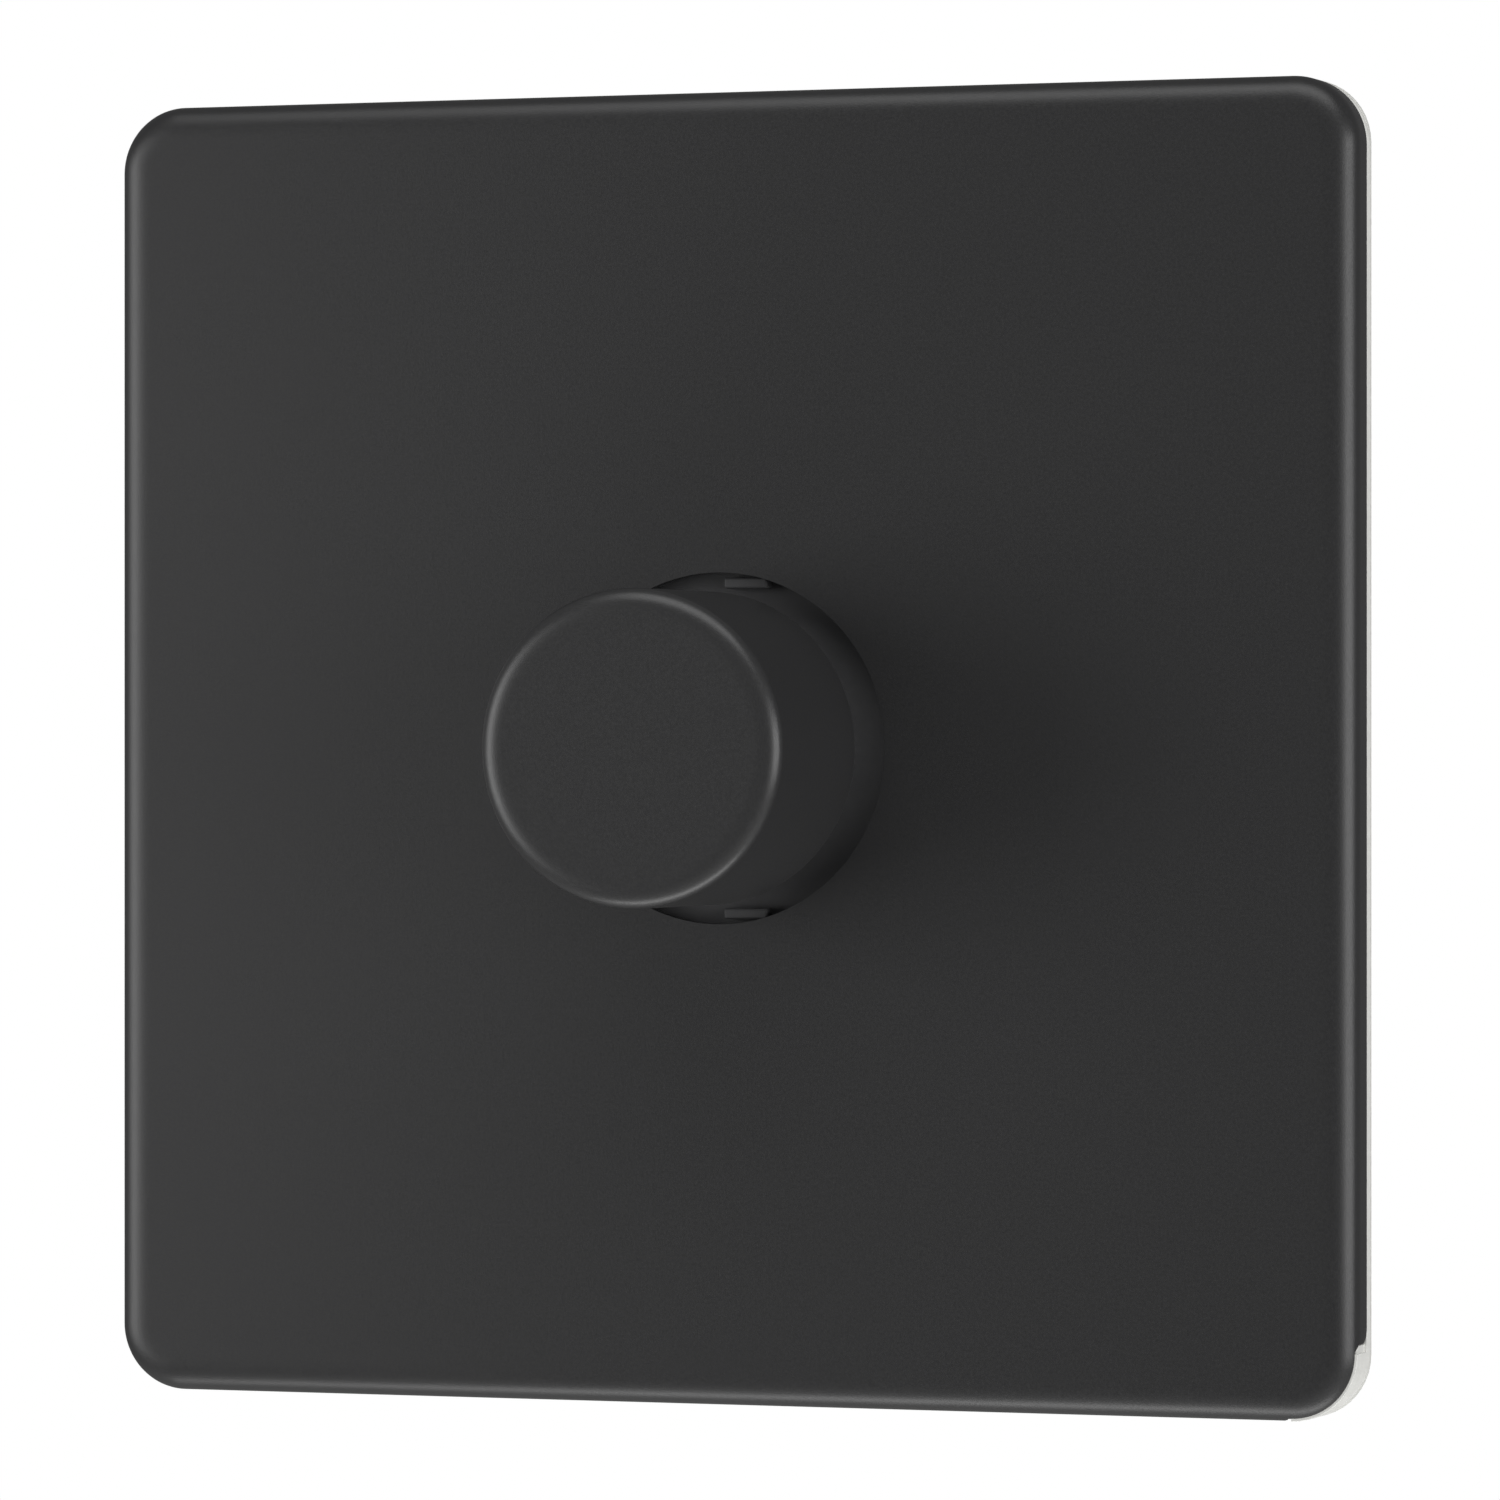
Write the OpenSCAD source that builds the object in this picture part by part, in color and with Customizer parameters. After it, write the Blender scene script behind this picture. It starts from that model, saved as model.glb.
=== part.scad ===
// One-gang rotary push dimmer with a screwless flat front plate.
// Origin: centre of the plate in the wall plane. +Z is up, the front faces -Y and +Y goes into the wall.

/* [Front plate] */
// Width and height of the square plate
plate_w = 86; // [80:0.5:92]
// Corner radius seen from the front
plate_corner_r = 4.4; // [4:0.1:7]
// Thickness of the pressed sheet
sheet_t = 0.8; // [0.6:0.05:0.9]
// Outside radius of the bend between face and rim
bend_r = 1.7; // [1.5:0.1:2.2]
// Depth of the folded rim, from the face
rim_depth = 3.1; // [3:0.1:4]
// Radius of the hole that the knob stands in
knob_hole_r = 11.5; // [11:0.1:12.5]
// Length of rim left out each way from the corner, where a screwdriver lifts the plate
notch_reach = 5; // [4:0.5:8]

/* [Knob] */
// Radius of the knob
knob_r = 10.2; // [9.8:0.1:10.6]
// Distance from the wall to the knob's face
knob_front = 21.4; // [20:0.1:24]
// Thickness of the knob's face
knob_face_t = 2; // [1.6:0.1:2.4]
// Distance from the wall to the knob's rear edge
knob_rear = 6.4; // [6.2:0.1:7]
// Radius of the knob's front edge
knob_edge_r = 1; // [0.4:0.1:1.4]
// Wall of the turned knob shell
knob_wall = 1.4; // [1.2:0.1:1.6]

/* [Frame and yoke] */
// Thickness of the pale frame and gasket behind the plate
frame_t = 1.3; // [1.2:0.1:1.8]
// Thickness of the gasket
gasket_t = 0.5; // [0.3:0.1:0.6]
// Distance between the two wall-box screws
fixing_centres = 60.3; // [60:0.1:60.6]
// Width of the steel yoke
yoke_w = 74; // [70:0.5:76]
// Height of the steel yoke
yoke_h = 50; // [48:0.5:52]
// Thickness of the steel yoke
yoke_t = 1; // [0.8:0.1:1.2]

/* [Module] */
// Width and height of the module
module_w = 44; // [44:0.5:45]
// Distance from the wall plane to the module's rear face
module_depth = 24.5; // [24.5:0.5:27]
// Wall thickness of the moulded housing
shell_t = 1.6; // [1.2:0.1:1.8]

/* [Control] */
// Radius of the control shaft
shaft_r = 3; // [2.9:0.05:3]
// Travel of the push switch
press_travel = 1.2; // [0.8:0.1:1.2]
// Radial clearance of turning and sliding fits
running_gap = 0.05; // [0.03:0.01:0.08]

/* [Terminals] */
// Distance between terminals
terminal_pitch = 11; // [10.5:0.1:11.5]
// Radius of the wire entries
wire_r = 1.9; // [1.6:0.1:1.9]
// Travel of the clamping screws
clamp_travel = 2.3; // [1.6:0.1:2.3]

/* [Hidden] */
$fn = 64;

// Layers, as distances along Y from the wall plane
plate_y = -frame_t - rim_depth;
plate_back_y = plate_y + sheet_t;
frame_y = -frame_t;
yoke_y = frame_y - yoke_t;
spreader_t = 1.5;
spreader_back_y = frame_y + spreader_t;
lid_t = 1.5;
lid_back_y = spreader_back_y + lid_t;
board_y = 9.2;
board_t = 1.6;
board_back_y = board_y + board_t;
floor_y = module_depth - shell_t;

// Wall positions
plate_half = plate_w / 2;
fixing_x = fixing_centres / 2;
inner_half = module_w / 2 - shell_t;
notch_from = plate_half - notch_reach;
post_at = 18.2;
post_r = 2.4;
trimmer_at = [13, -13];
trimmer_hole_r = 2;
screw_thread_r = 1.75;
screw_neck_r = 1.5;
eps = 0.01;

// Bush and shaft
bush_r = 4.95;
bush_front_y = -5.3;
bush_hole_r = bush_r + 0.1;
nut_across = 14;
nut_t = 2;
washer_t = 0.5;
shaft_front_y = knob_face_t + 0.5 - knob_front;
shaft_flat = shaft_r / 2;
shaft_rear_y = 8;
circlip_y = 4.1;
circlip_t = 0.6;
drive_half = 1.8;
rotor_y = 6.2;
rotor_t = 1.6;
wafer_y = 8.4;
track_t = 0.2;

// Push switch
case_half = 6.5;
case_low = -9.5;
case_t = 1;
case_back_y = 19.2;
collar_y = 12;
collar_t = 1.2;
lever_x = 4.5;
lever_pivot_y = 13.8;
lever_pivot_z = -7;
pivot_r = 0.5;

// Terminals, from the face of the board
terminal_z = -15.3;
cage_w = 8;
cage_l = 8.6;
cage_h = 9.2;
wire_up = 3.8;
chamber_up = 6.7;
pad_up = 5.8;
pad_t = 0.7;
screw_up = 11.6;
screw_head_t = 1.6;
earth_at = [-12, 29];
earth_y = 2.3;

// Extrudes an outline drawn in X and Z from y0 to y1
module slab(y0, y1) {
    translate([0, y1, 0])
        rotate([90, 0, 0])
            linear_extrude(y1 - y0)
                children();
}

// Turns an outline drawn as radius and Y about the Y axis
module turned() {
    rotate([-90, 0, 0])
        rotate_extrude()
            children();
}

// A round bar along Y
module rod(x, z, y0, y1, r) {
    translate([x, y1, z])
        rotate([90, 0, 0])
            cylinder(r = r, h = y1 - y0);
}

// A block from its lowest to its highest corner
module block(low, high) {
    translate(low)
        cube(high - low);
}

// A rounded rectangle
module rounded(w, h, r) {
    square([w - 2 * r, h], center = true);
    square([w, h - 2 * r], center = true);
    for (x = [-1, 1], z = [-1, 1])
        translate([x * (w / 2 - r), z * (h / 2 - r)])
            circle(r);
}

// Puts a child at the four screw posts
module at_posts() {
    for (x = [-1, 1], z = [-1, 1])
        translate([x * post_at, 0, z * post_at])
            children();
}

// Puts a child at each of the three mains terminals
module at_terminals() {
    for (i = [-1, 0, 1])
        translate([i * terminal_pitch, board_back_y, terminal_z])
            children();
}

// Section through face, bend and rim: x is the distance out from the corner's centre, y the depth
module rim_section() {
    bend_at = [plate_corner_r - bend_r, bend_r];
    square([bend_at.x, sheet_t]);
    translate([plate_corner_r - sheet_t, bend_r])
        square([sheet_t, rim_depth - bend_r]);
    intersection() {
        translate(bend_at)
            difference() {
                circle(bend_r);
                circle(bend_r - sheet_t);
            }
        translate([bend_at.x, 0])
            square([bend_r, bend_r]);
    }
}

module front_plate() {
    straight = plate_w - 2 * plate_corner_r;
    color("#26272a")
    difference() {
        translate([0, plate_y, 0])
            rotate([-90, 0, 0]) {
                translate([-straight / 2, -straight / 2, 0])
                    cube([straight, straight, sheet_t]);
                for (k = [0:3])
                    rotate([0, 0, 90 * k])
                        translate([straight / 2, straight / 2, 0]) {
                            rotate_extrude(angle = 90)
                                rim_section();
                            rotate([90, 0, 0])
                                linear_extrude(straight)
                                    rim_section();
                        }
            }
        rod(0, 0, plate_y - 1, plate_back_y + 1, knob_hole_r);
        block([notch_from, plate_back_y, -plate_half - 1], [plate_half + 1, 0, -notch_from]);
    }
}

module clip_frame() {
    wall_gap = sheet_t + 0.15;
    wall_w = plate_w - 2 * wall_gap;
    wall_t = 1.2;
    wall_r = plate_corner_r - wall_gap;
    wall_top = frame_y - 1.7;
    slot_half = 6.5;
    color("#e9e8e2") {
        difference() {
            union() {
                slab(frame_y, -gasket_t)
                    rounded(plate_w, plate_w, plate_corner_r);
                slab(wall_top, frame_y)
                    difference() {
                        rounded(wall_w, wall_w, wall_r);
                        rounded(wall_w - 2 * wall_t, wall_w - 2 * wall_t, wall_r - wall_t);
                        translate([notch_from - 1, -plate_half])
                            square([notch_reach + 2, notch_reach + 1]);
                    }
            }
            block([-25, wall_top, -27], [25, 0, 27]);
            for (x = [-1, 1])
                rod(x * fixing_x, 0, wall_top, 0, 2.2);
            for (k = [0:3])
                rotate([0, 90 * k, 0])
                    block([-slot_half, wall_top - 1, plate_half - 3], [slot_half, frame_y, plate_half]);
        }
        slab(plate_back_y + 0.1, frame_y)
            intersection() {
                difference() {
                    rounded(plate_w, plate_w, plate_corner_r);
                    rounded(plate_w - 2 * wall_t, plate_w - 2 * wall_t, plate_corner_r - wall_t);
                }
                translate([notch_from + 0.6, -plate_half])
                    square(notch_reach - 0.6);
            }
    }
}

module gasket() {
    color("#d9d8d0")
    difference() {
        slab(-gasket_t, 0)
            rounded(plate_w - 0.6, plate_w - 0.6, plate_corner_r - 0.3);
        block([-27, -1, -29], [27, 1, 29]);
        for (x = [-1, 1])
            rod(x * fixing_x, 0, -1, 1, 3);
    }
}

// Bent leaf springs that grip the inside of the rim, one on each side
module plate_springs() {
    leaf_t = 0.25;
    toe = plate_half - 4.4;
    heel = plate_half - 1.1;
    color("#c3c6c9")
    for (k = [0:3])
        rotate([0, 90 * k, 0])
            translate([-5, 0, 0])
                rotate([90, 0, 90])
                    linear_extrude(10)
                        polygon([[frame_y, toe], [frame_y, heel], [frame_y - 0.8, plate_half - sheet_t - 0.02],
                            [frame_y - 1.7, heel - 0.3], [frame_y - 1.7, heel - 0.3 - leaf_t],
                            [frame_y - 0.8, plate_half - sheet_t - 0.02 - leaf_t],
                            [frame_y - leaf_t, heel - leaf_t], [frame_y - leaf_t, toe]]);
}

module mounting_yoke() {
    slot_r = 1.95;
    slot_l = 6.5;
    color("#b9bcc0")
    difference() {
        union() {
            slab(yoke_y, frame_y)
                rounded(yoke_w, yoke_h, 3);
            block([earth_at.x - 6, yoke_y, yoke_h / 2 - yoke_t], [earth_at.x + 6, 12, yoke_h / 2]);
        }
        rod(0, 0, yoke_y - 1, 0, bush_hole_r);
        at_posts()
            rod(0, 0, yoke_y - 1, 0, 1.6);
        rod(trimmer_at.x, trimmer_at.y, yoke_y - 1, 0, trimmer_hole_r);
        for (x = [-1, 1]) {
            for (z = [-1, 1])
                rod(x * fixing_x, z * (slot_l / 2 - slot_r), yoke_y - 1, 0, slot_r);
            block([x * fixing_x - slot_r, yoke_y - 1, slot_r - slot_l / 2],
                [x * fixing_x + slot_r, 0, slot_l / 2 - slot_r]);
        }
    }
}

// A low round head with a cross cut, its face at y, and a plain shank behind it
module headed_screw(y, head_r, head_t, shank_r, length) {
    difference() {
        union() {
            rod(0, 0, y, y + head_t, head_r);
            rod(0, 0, y + head_t, y + head_t + length, shank_r);
        }
        for (a = [0, 90])
            rotate([0, a, 0])
                block([-0.4, y - 1, -0.6 * head_r], [0.4, y + 0.6 * head_t, 0.6 * head_r]);
    }
}

// Box screws: a plain neck through the yoke, frame and gasket, then the thread in the wall box
module fixing_screws() {
    head_t = 1.1;
    thread_l = 22.7;
    color("#c9b26a")
    for (x = [-1, 1])
        translate([x * fixing_x, 0, 0]) {
            headed_screw(yoke_y - head_t, 3.4, head_t, screw_neck_r, -yoke_y);
            rod(0, 0, 0, thread_l, screw_thread_r);
        }
}

module housing_screws() {
    color("#a9adb2")
    at_posts()
        headed_screw(yoke_y - 1, 2.6, 1, 1.2, 14);
}

module heat_spreader() {
    color("#c7cacd")
    difference() {
        slab(frame_y, spreader_back_y)
            rounded(module_w, module_w, 3);
        rod(0, 0, frame_y - 1, lid_back_y, bush_hole_r);
        at_posts()
            rod(0, 0, frame_y - 1, lid_back_y, 1.6);
        rod(trimmer_at.x, trimmer_at.y, frame_y - 1, lid_back_y, trimmer_hole_r);
    }
}

// Transistors lie left and right of the potentiometer
transistor_x = 14.7;
transistor_w = 10.2;
transistor_low = -2;
transistor_high = 13.4;

module module_lid() {
    window_half = transistor_w / 2 + 0.4;
    color("#2f3134")
    difference() {
        slab(spreader_back_y, lid_back_y)
            rounded(module_w, module_w, 3);
        rod(0, 0, 0, lid_back_y + 1, bush_hole_r);
        at_posts()
            rod(0, 0, 0, lid_back_y + 1, 1.6);
        rod(trimmer_at.x, trimmer_at.y, 0, lid_back_y + 1, trimmer_hole_r);
        for (x = [-1, 1])
            block([x * transistor_x - window_half, 0, transistor_low - 1],
                [x * transistor_x + window_half, lid_back_y + 1, transistor_high + 1]);
    }
}

module module_housing() {
    window_half = 3.2;
    access_r = 3;
    color("#3a3c40")
    difference() {
        union() {
            difference() {
                slab(lid_back_y, module_depth)
                    rounded(module_w, module_w, 3);
                slab(lid_back_y - 1, floor_y)
                    rounded(2 * inner_half, 2 * inner_half, 1.4);
            }
            at_posts()
                rod(0, 0, lid_back_y, floor_y + eps, post_r);
        }
        at_posts()
            rod(0, 0, lid_back_y - 1, 14, 1.22);
        for (i = [-1, 0, 1]) {
            block([i * terminal_pitch - window_half, board_back_y + 0.8, -module_w / 2 - 1],
                [i * terminal_pitch + window_half, board_back_y + 7, -inner_half + eps]);
            rod(i * terminal_pitch, terminal_z, floor_y - 1, module_depth + 1, access_r);
        }
        for (i = [0:4])
            block([-12, floor_y - 1, 2 + 3 * i], [12, module_depth + 1, 3.2 + 3 * i]);
    }
}

module circuit_board() {
    color("#1f5c3a")
    difference() {
        slab(board_y, board_back_y)
            square(2 * inner_half - 0.8, center = true);
        at_posts()
            rod(0, 0, board_y - 1, board_back_y + 1, post_r + 0.3);
        rod(0, 0, board_y - 1, board_back_y + 1, 2.4);
        for (x = [-5, 0, 5])
            rod(x, -8, board_y - 1, board_back_y + 1, 0.7);
        for (x = [-1, 1], i = [-1, 0, 1])
            rod(x * transistor_x + 2.54 * i, -7.4, board_y - 1, board_back_y + 1, 0.7);
    }
}

// Black ring that hides the yoke inside the plate's hole
module trim_ring() {
    color("#1b1c1e")
    slab(yoke_y - 0.6, yoke_y)
        difference() {
            circle(13.2);
            circle(8.7);
        }
}

module threaded_bush() {
    thread_pitch = 0.75;
    thread_depth = 0.35;
    threads = 4;
    flange_r = 6.2;
    color("#c9a959")
    turned()
        polygon(concat(
            [[shaft_r + running_gap, bush_front_y], [bush_r - thread_depth, bush_front_y]],
            [for (i = [0:threads - 1], s = [0.5, 1])
                [s == 1 ? bush_r - thread_depth : bush_r, bush_front_y + thread_pitch * (i + s)]],
            [[bush_r, bush_front_y + thread_pitch * (threads + 0.5)], [bush_r, 3], [flange_r, 3],
                [flange_r, 4], [shaft_r + running_gap, 4]]));
}

module bush_nut() {
    corner_r = nut_across / sqrt(3);
    back = yoke_y - washer_t;
    color("#b8bbbf")
    difference() {
        intersection() {
            translate([0, back, 0])
                rotate([90, 0, 0])
                    cylinder(r = corner_r, h = nut_t, $fn = 6);
            turned()
                polygon([[0, back - nut_t], [corner_r - 0.8, back - nut_t], [corner_r + 0.1, back - nut_t + 0.5],
                    [corner_r + 0.1, back], [0, back]]);
        }
        rod(0, 0, back - nut_t - 1, back + 1, bush_r + 0.02);
    }
}

module lock_washer() {
    teeth = 10;
    color("#a5a8ac")
    difference() {
        slab(yoke_y - washer_t, yoke_y)
            circle(8.2);
        slab(yoke_y - washer_t - 1, yoke_y + 1)
            circle(bush_r + 0.1);
        for (i = [0:teeth - 1])
            rotate([0, 360 * i / teeth, 0])
                block([-0.6, yoke_y - 2, 4], [0.6, yoke_y + 1, 6.4]);
    }
}

module pot_case() {
    half = 8.5;
    wall = 1.2;
    color("#4d4f52")
    difference() {
        block([-half, lid_back_y, -half], [half, board_y, half]);
        block([wall - half, 3, wall - half], [half - wall, board_y + 1, half - wall]);
        rod(0, 0, lid_back_y - 1, 4, bush_r + 0.02);
    }
}

module track_wafer() {
    half = 7.25;
    color("#d8cdb4")
    difference() {
        block([-half, wafer_y, -half], [half, board_y, half]);
        rod(0, 0, wafer_y - 1, board_y + 1, 2.95);
    }
}

// Carbon track with its gap at the bottom
module carbon_track() {
    sweep = 300;
    color("#202020")
    translate([0, wafer_y - track_t, 0])
        rotate([-90, 0, 0])
            rotate([0, 0, 90 + (360 - sweep) / 2])
                rotate_extrude(angle = sweep)
                    translate([4, 0])
                        square([1.6, track_t]);
}

module wiper_rotor() {
    hole_half = drive_half + 0.1;
    color("#e6e1d2")
    difference() {
        union() {
            rod(0, 0, rotor_y, rotor_y + rotor_t, 6.2);
            rod(0, 0, rotor_y, 8.9, 2.9);
        }
        block([-hole_half, rotor_y - 1, -hole_half], [hole_half, 10, hole_half]);
    }
}

// Brass wiper: an inner ring and an arm that reaches the track
module wiper_contacts() {
    color("#c9a959")
    slab(rotor_y + rotor_t, rotor_y + rotor_t + 0.3) {
        difference() {
            circle(3.7);
            circle(3);
        }
        translate([-0.7, 3.4])
            square([1.4, 2.2]);
    }
}

module pot_pins() {
    color("#c7c9cc")
    for (x = [-5, 0, 5])
        block([x - 0.4, board_y, -8.3], [x + 0.4, board_back_y, -7.7]);
}

module control_shaft() {
    groove_r = shaft_r - 0.4;
    color("#cbb072")
    difference() {
        union() {
            turned()
                polygon([[0, shaft_front_y], [shaft_r - 0.4, shaft_front_y], [shaft_r, shaft_front_y + 0.4],
                    [shaft_r, circlip_y], [groove_r, circlip_y], [groove_r, circlip_y + circlip_t],
                    [shaft_r, circlip_y + circlip_t], [shaft_r, circlip_y + circlip_t + 0.1],
                    [0, circlip_y + circlip_t + 0.1]]);
            block([-drive_half, circlip_y + circlip_t, -drive_half], [drive_half, shaft_rear_y, drive_half]);
        }
        block([-shaft_r, shaft_front_y - 1, shaft_flat], [shaft_r, -knob_rear, shaft_r + 1]);
    }
}

module shaft_circlip() {
    color("#8d9196")
    difference() {
        slab(circlip_y, circlip_y + circlip_t)
            difference() {
                circle(4.6);
                circle(shaft_r - 0.38);
            }
        block([-1.6, circlip_y - 1, -6], [1.6, circlip_y + 2, 0]);
    }
}

// Push rod with its collar, the ear that swings the contact and a spigot inside the spring
module push_plunger() {
    color("#f0eee6") {
        rod(0, 0, shaft_rear_y, collar_y + eps, 1.6);
        rod(0, 0, collar_y, collar_y + collar_t, 3.4);
        rod(0, 0, collar_y, collar_y + collar_t + 2.2, 2);
        block([2, collar_y, 0], [5.2, collar_y + collar_t, 2]);
    }
}

// Return spring, drawn as the rings of its coils
module return_spring() {
    coils = 6;
    wire = 0.25;
    first = collar_y + collar_t + wire;
    last = case_back_y - case_t - wire;
    color("#b0b4b8")
    turned()
        for (i = [0:coils - 1])
            translate([2.9, first + (last - first) * i / (coils - 1)])
                circle(wire, $fn = 24);
}

module switch_case() {
    color("#6b6e72")
    difference() {
        block([-case_half, board_back_y, case_low], [case_half, case_back_y, case_half]);
        block([case_t - case_half, board_back_y + case_t, case_low + case_t],
            [case_half - case_t, case_back_y - case_t, case_half - case_t]);
        rod(0, 0, board_back_y - 1, board_back_y + case_t + eps, 2);
    }
}

// Contact arm on its pivot, with the contact point at its free end
module moving_contact() {
    front = collar_y + collar_t + 0.1;
    color("#c47f4a")
    difference() {
        union() {
            block([lever_x - 0.5, front, lever_pivot_z], [lever_x + 0.5, front + 0.8, 4.4]);
            translate([lever_x - 0.5, lever_pivot_y, lever_pivot_z])
                rotate([0, 90, 0])
                    cylinder(r = 1.1, h = 1);
            rod(lever_x, 3.6, front + 0.8 - eps, front + 1.2, 0.5);
        }
        translate([lever_x - 1, lever_pivot_y, lever_pivot_z])
            rotate([0, 90, 0])
                cylinder(r = pivot_r + running_gap, h = 2);
    }
}

module fixed_contacts() {
    back = case_back_y - case_t;
    color("#c47f4a") {
        block([lever_x - 0.6, back - 1.7, 2.6], [lever_x + 0.6, back, 4.6]);
        difference() {
            block([2.9, lever_pivot_y - 1.1, lever_pivot_z - 1], [3.6, back, lever_pivot_z + 1]);
            translate([2, lever_pivot_y, lever_pivot_z])
                rotate([0, 90, 0])
                    cylinder(r = pivot_r, h = 3);
        }
    }
}

module contact_pivot() {
    color("#8d9196")
    translate([2.9, lever_pivot_y, lever_pivot_z])
        rotate([0, 90, 0])
            cylinder(r = pivot_r, h = case_half - case_t - 2.9);
}

module transistor_tabs() {
    front = spreader_back_y + 0.3;
    half = transistor_w / 2;
    color("#b9bcc0")
    for (x = [-1, 1])
        difference() {
            block([x * transistor_x - half, front, transistor_low],
                [x * transistor_x + half, front + 1.3, transistor_high]);
            rod(x * transistor_x, transistor_high - 2.8, front - 1, front + 2, 1.8);
        }
}

module transistor_bodies() {
    front = spreader_back_y + 1.6;
    half = transistor_w / 2;
    color("#1d1e20")
    for (x = [-1, 1])
        block([x * transistor_x - half, front, transistor_low],
            [x * transistor_x + half, front + 3.1, transistor_low + 9.2]);
}

// Three bent legs each, from the body down and back through the board
module transistor_legs() {
    leg_y = spreader_back_y + 3;
    color("#c7c9cc")
    for (x = [-1, 1], i = [-1, 0, 1])
        translate([x * transistor_x + 2.54 * i - 0.4, 0, 0]) {
            block([0, leg_y, -7.7], [0.8, leg_y + 0.6, transistor_low]);
            block([0, leg_y, -7.7], [0.8, board_back_y + 1.2, -7.1]);
        }
}

module insulator_pads() {
    half = transistor_w / 2 + 0.2;
    color("#9fb4c4")
    for (x = [-1, 1])
        block([x * transistor_x - half, spreader_back_y, transistor_low - 0.5],
            [x * transistor_x + half, spreader_back_y + 0.3, transistor_high + 0.5]);
}

// Leaf springs between the board and each transistor
module clamp_springs() {
    leaf_t = 0.4;
    body_y = spreader_back_y + 4.7;
    color("#a5a8ac")
    for (x = [-1, 1])
        translate([x * transistor_x - 2.5, 0, 0])
            rotate([90, 0, 90])
                linear_extrude(5)
                    polygon([[board_y, -1], [board_y - leaf_t, -1], [body_y, 2.2], [body_y, 3],
                        [board_y - leaf_t, 6.2], [board_y, 6.2], [body_y + 2 * leaf_t, 2.9],
                        [body_y + 2 * leaf_t, 2.3]]);
}

choke_at = [-11.3, 11.7];

module choke_core() {
    color("#5b5f55")
    translate([choke_at.x, 0, choke_at.y])
        slab(board_back_y + 0.8, board_back_y + 5.8)
            difference() {
                circle(5.9);
                circle(2.9);
            }
}

// Enamelled turns round the core
module choke_winding() {
    turns = 18;
    turn_gap = 300 / (turns - 1);
    color("#b5622c")
    for (i = [0:turns - 1])
        translate([choke_at.x, 0, choke_at.y])
            rotate([0, 30 + turn_gap * i, 0])
                translate([0, board_back_y, -0.3])
                    linear_extrude(0.6)
                        difference() {
                            translate([2.25, 0.05])
                                square([4.3, 6.5]);
                            translate([2.85, 0.75])
                                square([3.1, 5.1]);
                        }
}

module film_capacitor() {
    color("#c8b23a")
    block([7.2, board_back_y, 8.2], [19.6, 21, 14.2]);
}

module can_capacitor() {
    color("#23324d")
    translate([14.5, 0, 1.5])
        turned()
            polygon([[0, board_back_y], [3.9, board_back_y], [3.9, 12], [3.6, 12.3], [3.9, 12.6],
                [3.9, 21.4], [3.6, 21.7], [0, 21.7]]);
}

// Cartridge fuse lying on the board, with its end caps
module fuse() {
    color("#d9d9d0")
    translate([-9.4, board_back_y + 2, -8.2]) {
        cylinder(r = 1.6, h = 11.4);
        for (z = [0, 8.9])
            translate([0, 0, z])
                cylinder(r = 1.8, h = 2.5);
    }
}

module varistor() {
    color("#2f6fa8")
    translate([-16.6, board_back_y + 4.7, -3.5])
        rotate([0, 90, 0])
            cylinder(r = 4.5, h = 3.6);
}

module controller_chip() {
    color("#1d1e20") {
        block([-3, board_y - 1.7, -16], [3, board_y - 0.2, -12]);
        for (i = [0:3], z = [-1, 1])
            block([-2.4 + 1.27 * i, board_y - 0.6, z < 0 ? -17 : -12], [-2 + 1.27 * i, board_y, z < 0 ? -16 : -11]);
    }
}

module small_resistors() {
    color("#24262b") {
        for (i = [0:4])
            block([-14.5 + 2.2 * i, board_y - 0.6, -13], [-13.1 + 2.2 * i, board_y, -10.2]);
        for (i = [0:6])
            block([-9 + 2.6 * i, board_y - 0.6, 12], [-7.4 + 2.6 * i, board_y, 15]);
    }
}

module trimmer_body() {
    half = 3.3;
    color("#2b5fb0")
    difference() {
        translate([trimmer_at.x, 0, trimmer_at.y])
            block([-half, 4.4, -half], [half, board_y, half]);
        rod(trimmer_at.x, trimmer_at.y, 3, 6, 2.4 + running_gap);
    }
}

module trimmer_rotor() {
    color("#f2f0ea")
    translate([trimmer_at.x, 0, trimmer_at.y])
        difference() {
            rod(0, 0, 3.6, 6, 2.4);
            block([-1.8, 3, -0.3], [1.8, 4.6, 0.3]);
            block([-0.3, 3, -1.2], [0.3, 4.6, 1.2]);
        }
}

// A pillar terminal standing on y = 0: wire entry along Z, clamping screw along Y
module pillar_cage() {
    difference() {
        block([-cage_w / 2, 0, -cage_l / 2], [cage_w / 2, cage_h, cage_l / 2]);
        block([-2.4, wire_up - wire_r, -2.9], [2.4, chamber_up, 2.9]);
        translate([0, wire_up, -cage_l])
            cylinder(r = wire_r, h = 2 * cage_l);
        rod(0, 0, chamber_up - eps, cage_h + 1, screw_thread_r + running_gap);
    }
}

// The pad that the screw presses on the wire
module clamp_pad() {
    block([-2.2, pad_up, -2.7], [2.2, pad_up + pad_t, 2.7]);
}

// The screw, backed off to its highest place
module clamp_screw() {
    tip = pad_up + pad_t;
    difference() {
        union() {
            rod(0, 0, tip, screw_up + eps, screw_thread_r);
            rod(0, 0, screw_up, screw_up + screw_head_t, 2.6);
        }
        block([-3, screw_up + 0.7, -0.4], [3, screw_up + screw_head_t + 1, 0.4]);
    }
}

module terminal_cages() {
    color("#c9a959")
    at_terminals()
        pillar_cage();
}

// Puts a child at one mains terminal: -1 left, 0 middle, 1 right
module at_terminal(i) {
    translate([i * terminal_pitch, board_back_y, terminal_z])
        children();
}

module wire_pad_left() {
    color("#d3b56a")
    at_terminal(-1)
        clamp_pad();
}

module wire_pad_middle() {
    color("#d3b56a")
    at_terminal(0)
        clamp_pad();
}

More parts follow.
